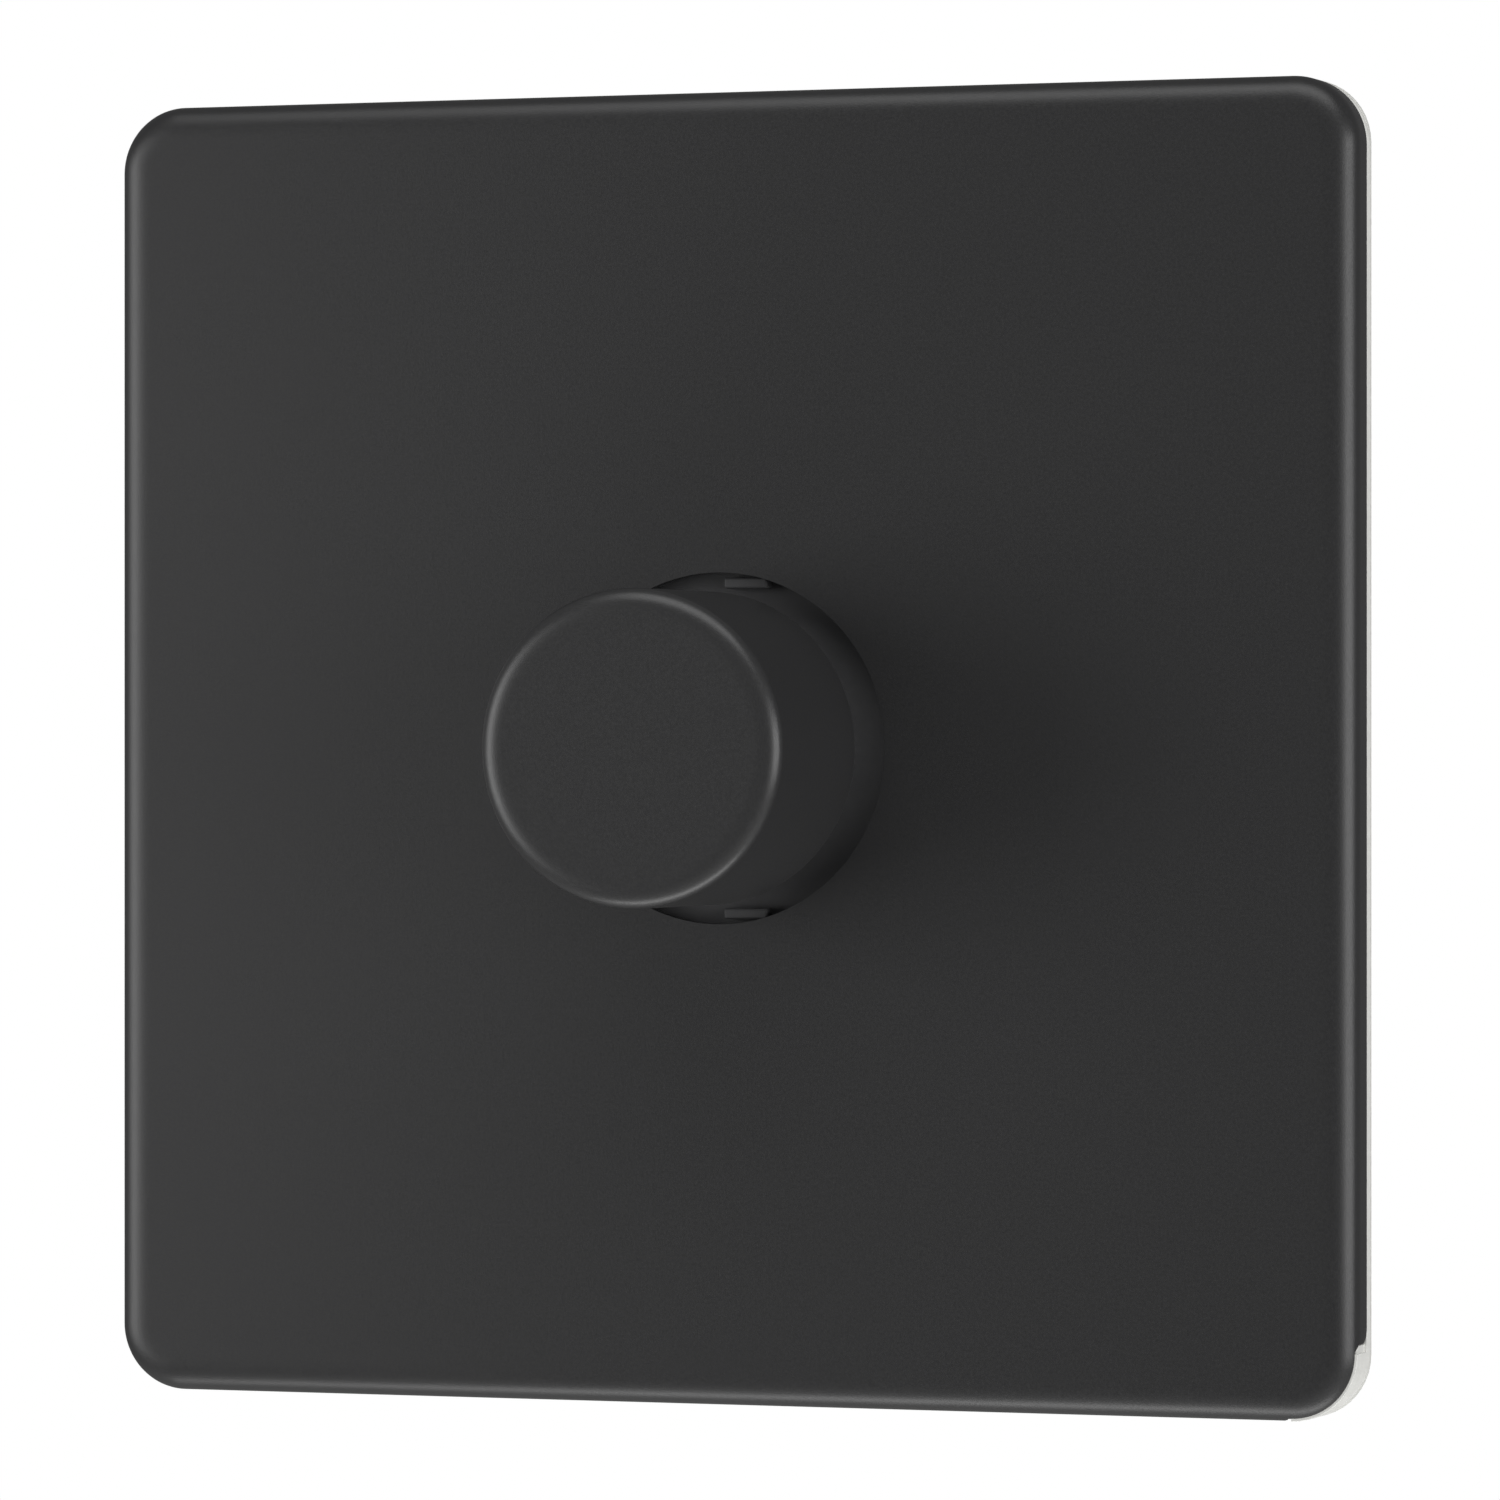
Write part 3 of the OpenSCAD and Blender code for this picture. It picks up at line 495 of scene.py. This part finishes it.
yellow_zinc = finish("yellow_zinc_steel", (0.72, 0.62, 0.34), (0.58, 0.50, 0.32), 1400, (0.22, 0.36),
                     metal=1.0, blotch=0.15)
screw_radius = 1.75
screw_pitch = 0.6
box_screw_x = 30.15
bm = eased("fixing_screws", 0.1 * MM)
cut_back(bm, 0, 1)
for side in (-1, 1):
    thread(bm, -0.01, 22.7, screw_radius, screw_pitch, x=side * box_screw_x)
show("box_screws_threaded", bm, yellow_zinc, "root", "yellow_zinc_steel", "fixing_screws")


# Housing screws. Four zinc-plated screws through the yoke, spreader and lid into posts of the housing.
# They form their own thread in the plastic.
post_at = 18.2
bm = eased("housing_screws", 0.08 * MM)
cut_back(bm, 3, 1)
for x in (-post_at, post_at):
    for z in (-post_at, post_at):
        thread(bm, 2.99, 11.7, crest=1.2, pitch=0.9, x=x, z=z, steps=16)
show("housing_screws_threaded", bm, zinc_steel, "root", "zinc_steel", "housing_screws")


# Heat spreader. A square of mill-finish aluminium under the yoke that takes the heat of the
# transistors away from the board.
aluminium = finish("aluminium_sheet", (0.76, 0.77, 0.78), (0.64, 0.65, 0.66), 1100, (0.28, 0.44), metal=1.0,
                   stretch=(1, 1, 0.08), blotch=0.08)
show_node("heat_spreader_sheet", "heat_spreader", 0.12, aluminium, "root", "aluminium_sheet")


# Module lid. Black moulded plate with windows for the transistor tabs,
# held by the four housing screws.
show_node("module_lid_moulded", "module_lid", 0.15, black_moulding, "root", "black_plastic")


# Module housing. A dark grey moulded box with a spark-eroded texture, five cooling slots,
# three windows for the wires and three holes that let a screwdriver reach the terminals.
grey_moulding = finish("grey_moulding", (0.105, 0.105, 0.110), (0.085, 0.085, 0.090), 2400, (0.42, 0.62),
                       bump=0.02 * MM, blotch=0.05)
show_node("module_housing_moulded", "module_housing", 0.25, grey_moulding, "root", "grey_plastic")


# Trim ring. A black moulded ring that hides the yoke inside the plate's hole, with two small lugs
# that centre the plate above and below the knob.
lug_low = Vector((0.2, -3.9, 10.45)) * MM
lug_high = Vector((3.2, -2.8, 11.15)) * MM
lug_edge = 0.15 * MM
bm = eased("trim_ring", 0.08 * MM)
for way in (1, -1):
    lug = bmesh.new()
    block(lug, lug_low, lug_high)
    round_off(lug, list(lug.edges), lug_edge, 2)
    if way < 0:
        bmesh.ops.scale(lug, verts=lug.verts, vec=(1, 1, -1))
        bmesh.ops.recalc_face_normals(lug, faces=lug.faces)
    add_part(bm, lug)
charcoal_moulding = finish("charcoal_moulding", (0.056, 0.056, 0.058), (0.046, 0.046, 0.048), 2600,
                           (0.55, 0.68), bump=0.004 * MM)
show("trim_ring_moulded", bm, charcoal_moulding, "root", "black_plastic", "trim_ring")


# Bush, nut and lock washer. A turned brass bush carries the shaft. A hexagon nut on a toothed
# washer of spring steel clamps it to the yoke.
brass = finish("brass", (0.80, 0.62, 0.30), (0.66, 0.49, 0.22), 1500, (0.20, 0.34),
               metal=1.0, stretch=(1, 0.06, 1), blotch=0.12)
show_node("threaded_bush_turned", "threaded_bush", 0.04, brass, "root", "brass")
show_node("bush_nut_hexagon", "bush_nut", 0.06, zinc_steel, "root", "zinc_steel")
show_node("lock_washer_toothed", "lock_washer", 0.04, spring_steel, "root", "spring_steel")


# Potentiometer. A steel case round a ceramic wafer with a carbon track. The nylon rotor turns with the
# shaft and drags its copper wiper round the track; three tinned pins go down to the board.
ceramic = finish("ceramic_wafer", (0.66, 0.60, 0.47), (0.58, 0.52, 0.40), 2200, (0.5, 0.65),
                 bump=0.004 * MM)
carbon = finish("carbon_track", (0.030, 0.030, 0.030), (0.014, 0.014, 0.014), 3000, (0.35, 0.6),
                bump=0.003 * MM)
nylon = finish("natural_nylon", (0.84, 0.82, 0.76), (0.76, 0.74, 0.67), 1200, (0.34, 0.46), bump=0.002 * MM)
copper = finish("copper", (0.78, 0.42, 0.26), (0.62, 0.32, 0.19), 1600, (0.18, 0.32), metal=1.0,
                stretch=(1, 0.1, 1), blotch=0.15)
tinned = finish("tinned_metal", (0.76, 0.77, 0.78), (0.60, 0.61, 0.62), 1300, (0.20, 0.38),
                metal=1.0, blotch=0.1)
show_node("pot_case_folded", "pot_case", 0.12, zinc_steel, "root", "zinc_steel")
show_node("track_wafer_fired", "track_wafer", 0.06, ceramic, "root", "ceramic_wafer")
show_node("carbon_track_printed", "carbon_track", 0.02, carbon, "root", "carbon")
show_node("wiper_rotor_moulded", "wiper_rotor", 0.08, nylon, "wiper", "natural_nylon")
show_node("wiper_contacts_stamped", "wiper_contacts", 0.04, copper, "wiper", "copper")
show_node("pot_pins_tinned", "pot_pins", 0.06, tinned, "root", "tinned_metal")


# Control shaft. A 6 mm brass shaft with a flat for the knob and a square end for the rotor.
# A circlip in its groove keeps it in the bush.
show_node("control_shaft_turned", "control_shaft", 0.16, brass, "shaft", "brass")
show_node("shaft_circlip_sprung", "shaft_circlip", 0.06, spring_steel, "shaft", "spring_steel")


# Push switch. A grey case on the board with a nylon plunger, a coiled return spring behind its collar,
# and a copper arm that the plunger swings onto the fixed contact.
show_node("push_plunger_moulded", "push_plunger", 0.08, nylon, "plunger", "natural_nylon")
show_node("switch_case_moulded", "switch_case", 0.15, grey_moulding, "root", "grey_plastic")
show_node("moving_contact_stamped", "moving_contact", 0.05, copper, "contact", "copper")
show_node("fixed_contacts_stamped", "fixed_contacts", 0.05, copper, "root", "copper")
show_node("contact_pivot_pin", "contact_pivot", 0.08, spring_steel, "root", "spring_steel")

spring_low, spring_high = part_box("return_spring")
wire_radius = 0.25 * MM
coil_radius = spring_high.x - wire_radius
coils = 5.5
coil_steps = 24
rise = (spring_high.y - spring_low.y - 2 * wire_radius) / (coils * coil_steps)
bm = bmesh.new()
bmesh.ops.create_circle(bm, segments=10, radius=wire_radius,
                        matrix=Matrix.Translation((coil_radius, spring_low.y + wire_radius, 0)))
bmesh.ops.spin(bm, geom=list(bm.verts) + list(bm.edges), cent=(0, 0, 0), axis=(0, 1, 0), dvec=(0, rise, 0),
               angle=2 * math.pi * coils, steps=int(coils * coil_steps), use_merge=False,
               use_normal_flip=False, use_duplicate=False)
bmesh.ops.holes_fill(bm, edges=[e for e in bm.edges if e.is_boundary], sides=0)
bmesh.ops.recalc_face_normals(bm, faces=bm.faces)
coil = show("return_spring_coiled", bm, spring_steel, "root", "spring_steel", "return_spring", crease=60)
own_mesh(coil)


# Circuit board. Green glass-fibre laminate, 1.6 mm thick, with its copper tracks under the solder mask.
# It is held between the lid and the posts of the housing.
laminate = finish("board_laminate", (0.030, 0.165, 0.072), (0.024, 0.140, 0.060), 1800, (0.24, 0.34),
                  bump=0.002 * MM)
nodes, links = laminate.node_tree.nodes, laminate.node_tree.links
tracks = wire(laminate, "ShaderNodeTexVoronoi", Scale=420.0)
tracks.distance = "MANHATTAN"
tracks.feature = "F1"
track_where = nodes.new("ShaderNodeTexCoord")
links.new(track_where.outputs["Object"], tracks.inputs["Vector"])
track_edge = wire(laminate, "ShaderNodeMapRange", From_Min=0.52, From_Max=0.56, To_Min=0.0, To_Max=1.0)
links.new(tracks.outputs["Distance"], track_edge.inputs["Value"])
track_mix = nodes.new("ShaderNodeMixRGB")
track_mix.inputs["Color2"].default_value = (0.060, 0.270, 0.110, 1)
shader = nodes["Principled BSDF"]
links.new(shader.inputs["Base Color"].links[0].from_socket, track_mix.inputs["Color1"])
links.new(track_edge.outputs["Result"], track_mix.inputs["Fac"])
links.new(track_mix.outputs["Color"], shader.inputs["Base Color"])
show_node("circuit_board_laminate", "circuit_board", 0.06, laminate, "root", "board_laminate")


# Power transistors. Two packages whose tinned tabs press on the heat spreader through grey pads,
# each held by a leaf spring, with three bent legs through the board.
epoxy = finish("chip_epoxy", (0.026, 0.026, 0.028), (0.018, 0.018, 0.020), 3200, (0.42, 0.58),
               bump=0.004 * MM)
pad_rubber = finish("thermal_pad", (0.34, 0.44, 0.52), (0.29, 0.38, 0.46), 2600, (0.6, 0.75), bump=0.01 * MM)
show_node("transistor_tabs_stamped", "transistor_tabs", 0.08, tinned, "root", "tinned_metal")
show_node("transistor_bodies_cast", "transistor_bodies", 0.2, epoxy, "root", "chip_epoxy")
show_node("transistor_legs_bent", "transistor_legs", 0.06, tinned, "root", "tinned_metal")
show_node("insulator_pads_cut", "insulator_pads", 0.05, pad_rubber, "root", "thermal_pad")
show_node("clamp_springs_bent", "clamp_springs", 0.06, spring_steel, "root", "spring_steel")


# Suppression choke. A ring of grey-black ferrite with a single layer of enamelled copper wire,
# eighteen turns with a gap at one side.
ferrite = finish("ferrite", (0.125, 0.130, 0.115), (0.085, 0.090, 0.080), 1600, (0.5, 0.7), bump=0.01 * MM)
enamel = finish("enamel_wire", (0.60, 0.25, 0.09), (0.48, 0.19, 0.07), 2000, (0.16, 0.26),
                metal=0.7, coat=0.6)
show_node("choke_core_sintered", "choke_core", 0.35, ferrite, "root", "ferrite", segments=4)
choke_x, choke_z = -11.3 * MM, 11.7 * MM
turn_count = 18
turn_first, turn_span = 30, 300
turn_low, turn_high = 10.85, 17.35
turn_in, turn_out = 2.25, 6.55
turn_wire = 0.3
turn_bend = 0.7
reach_out = (turn_out - turn_in) / 2 - turn_wire - turn_bend
reach_up = (turn_high - turn_low) / 2 - turn_wire - turn_bend
circle = [((turn_bend + turn_wire * math.cos(a)) * MM, turn_wire * math.sin(a) * MM)
          for a in (2 * math.pi * k / 10 for k in range(10))]
core_middle = Matrix.Translation((choke_x, (turn_low + turn_high) / 2 * MM, choke_z))
turn_out_by = Matrix.Translation(((turn_in + turn_out) / 2 * MM, 0, 0))
turn_upright = Matrix.Rotation(math.pi / 2, 4, "X")
bm = bmesh.new()
for number in range(turn_count):
    loop = bmesh.new()
    swept_round(loop, circle, reach_out * MM, reach_up * MM, steps=5, closed=True)
    angle = math.radians(turn_first + turn_span / (turn_count - 1) * number)
    stand = core_middle @ Matrix.Rotation(angle, 4, "Y") @ turn_out_by @ turn_upright
    bmesh.ops.transform(loop, matrix=stand, verts=loop.verts)
    bmesh.ops.recalc_face_normals(loop, faces=loop.faces)
    add_part(bm, loop)
show("choke_winding_wound", bm, enamel, "root", "enamel_wire", "choke_winding")


# Capacitors. A yellow boxed film capacitor across the mains, and an aluminium can in a dark sleeve
# with a rolled groove near its foot and a bare crimped top.
yellow_box = finish("yellow_box", (0.62, 0.48, 0.06), (0.54, 0.41, 0.05), 1500, (0.24, 0.34),
                    bump=0.002 * MM)
sleeve = finish("can_sleeve", (0.034, 0.056, 0.120), (0.026, 0.045, 0.100), 900, (0.14, 0.22), coat=0.3)
show_node("film_capacitor_boxed", "film_capacitor", 0.4, yellow_box, "root", "yellow_box", segments=4)
can_x, can_z = 14.5, 1.5
can_radius = 3.9
can_foot = [(0, 10.8), (3.5, 10.8)] + arc(3.6, 11.1, 0.3, -90, 0, 4)
can_groove = [(can_radius, 12.0), (3.62, 12.3), (can_radius, 12.6)]
can_top = [(can_radius, 21.3)] + arc(3.5, 21.3, 0.4, 0, 90, 5) + [(3.2, 21.7), (3.1, 21.5), (0, 21.5)]
bm = bmesh.new()
spun(bm, can_foot + can_groove + can_top, steps=64)
bmesh.ops.translate(bm, verts=bm.verts, vec=(can_x * MM, 0, can_z * MM))
show("can_capacitor_sleeved", bm, sleeve, "root", "can_sleeve", "can_capacitor")


# Fuse and varistor. A ceramic cartridge fuse with two tinned caps lies along the board,
# and a blue epoxy-dipped varistor disc stands beside it.
fuse_ceramic = finish("fuse_ceramic", (0.78, 0.77, 0.73), (0.70, 0.69, 0.65), 1500, (0.28, 0.4),
                      bump=0.003 * MM)
blue_epoxy = finish("blue_epoxy", (0.034, 0.150, 0.360), (0.026, 0.120, 0.310), 700, (0.18, 0.3),
                    bump=0.01 * MM)
fuse_x, fuse_y, fuse_low = -9.4, 12.8, -8.2
fuse_place = Matrix.Translation((fuse_x * MM, fuse_y * MM, fuse_low * MM))
lay_down = fuse_place @ Matrix.Rotation(math.pi / 2, 4, "X")
bm = bmesh.new()
spun(bm, [(0, 0.2), (1.6, 0.2), (1.6, 11.2), (0, 11.2)], steps=48)
bmesh.ops.transform(bm, matrix=lay_down, verts=bm.verts)
show("fuse_tube_ceramic", bm, fuse_ceramic, "root", "fuse_ceramic", "fuse")
bm = bmesh.new()
for first, last in ((0, 2.5), (11.4, 8.9)):
    way = 1 if last > first else -1
    inside = first + 0.3 * way
    cap = bmesh.new()
    spun(cap, [(0, first), (1.5, first)] + arc(1.5, inside, 0.3, -90 * way, 0, 4)
         + [(1.8, last - 0.1 * way), (1.75, last), (1.61, last), (1.61, inside), (0, inside)], steps=48)
    bmesh.ops.transform(cap, matrix=lay_down, verts=cap.verts)
    add_part(bm, cap)
show("fuse_caps_tinned", bm, tinned, "root", "tinned_metal")

varistor_place = Matrix.Translation((-14.8 * MM, 15.5 * MM, -3.5 * MM))
bm = bmesh.new()
spun(bm, [(0, -1.8), (2.6, -1.74), (3.6, -1.45)] + arc(3.55, 0, 0.95, -60, 60, 8)
     + [(3.6, 1.45), (2.6, 1.74), (0, 1.8)], steps=64)
bmesh.ops.transform(bm, matrix=varistor_place @ Matrix.Rotation(math.pi / 2, 4, "Z"), verts=bm.verts)
show("varistor_dipped", bm, blue_epoxy, "root", "blue_epoxy", "varistor")


# Small parts on the front of the board. The controller chip with eight legs, a row of chip
# resistors above and below, and the blue trimmer that sets the lowest brightness.
trimmer_plastic = finish("trimmer_blue", (0.036, 0.120, 0.380), (0.028, 0.095, 0.320), 1600, (0.3, 0.4),
                         bump=0.003 * MM)
show_node("controller_chip_cast", "controller_chip", 0.05, epoxy, "root", "chip_epoxy")
show_node("small_resistors_chip", "small_resistors", 0.06, epoxy, "root", "chip_epoxy")
show_node("trimmer_body_moulded", "trimmer_body", 0.12, trimmer_plastic, "root", "trimmer_blue")
show_node("trimmer_rotor_moulded", "trimmer_rotor", 0.05, nylon, "trimmer", "natural_nylon")


# Terminals. Brass pillar clamps for three mains wires, and one on the yoke's tab for the earth wire.
# Each has a steel screw with a slotted head that drives a brass pad onto the wire.
show_node("terminal_cages_brass", "terminal_cages", 0.12, brass, "root", "brass")
show_node("earth_terminal_brass", "earth_terminal", 0.12, brass, "root", "brass")
terminal_foot, terminal_x, terminal_z = 10.8, 11, -15.3
earth_foot, earth_x, earth_z = 2.3, -12, 29
for pad, pad_body, screw, screw_body, foot, x, z in (
        ("wire_pad_left", "pad_left_body", "clamp_screw_left", "screw_left_body",
         terminal_foot, -terminal_x, terminal_z),
        ("wire_pad_middle", "pad_middle_body", "clamp_screw_middle", "screw_middle_body",
         terminal_foot, 0, terminal_z),
        ("wire_pad_right", "pad_right_body", "clamp_screw_right", "screw_right_body",
         terminal_foot, terminal_x, terminal_z),
        ("earth_pad", "earth_pad_body", "earth_screw", "earth_screw_body",
         earth_foot, earth_x, earth_z)):
    show_node(f"{pad}_pressed", pad, 0.08, brass, pad_body, "brass")
    bm = eased(screw, 0.1 * MM)
    cut_back(bm, foot + 11.5, -1)
    thread(bm, foot + 6.5, foot + 11.6, screw_radius, screw_pitch, x=x, z=z)
    show(f"{screw}_threaded", bm, zinc_steel, screw_body, "zinc_steel", screw)
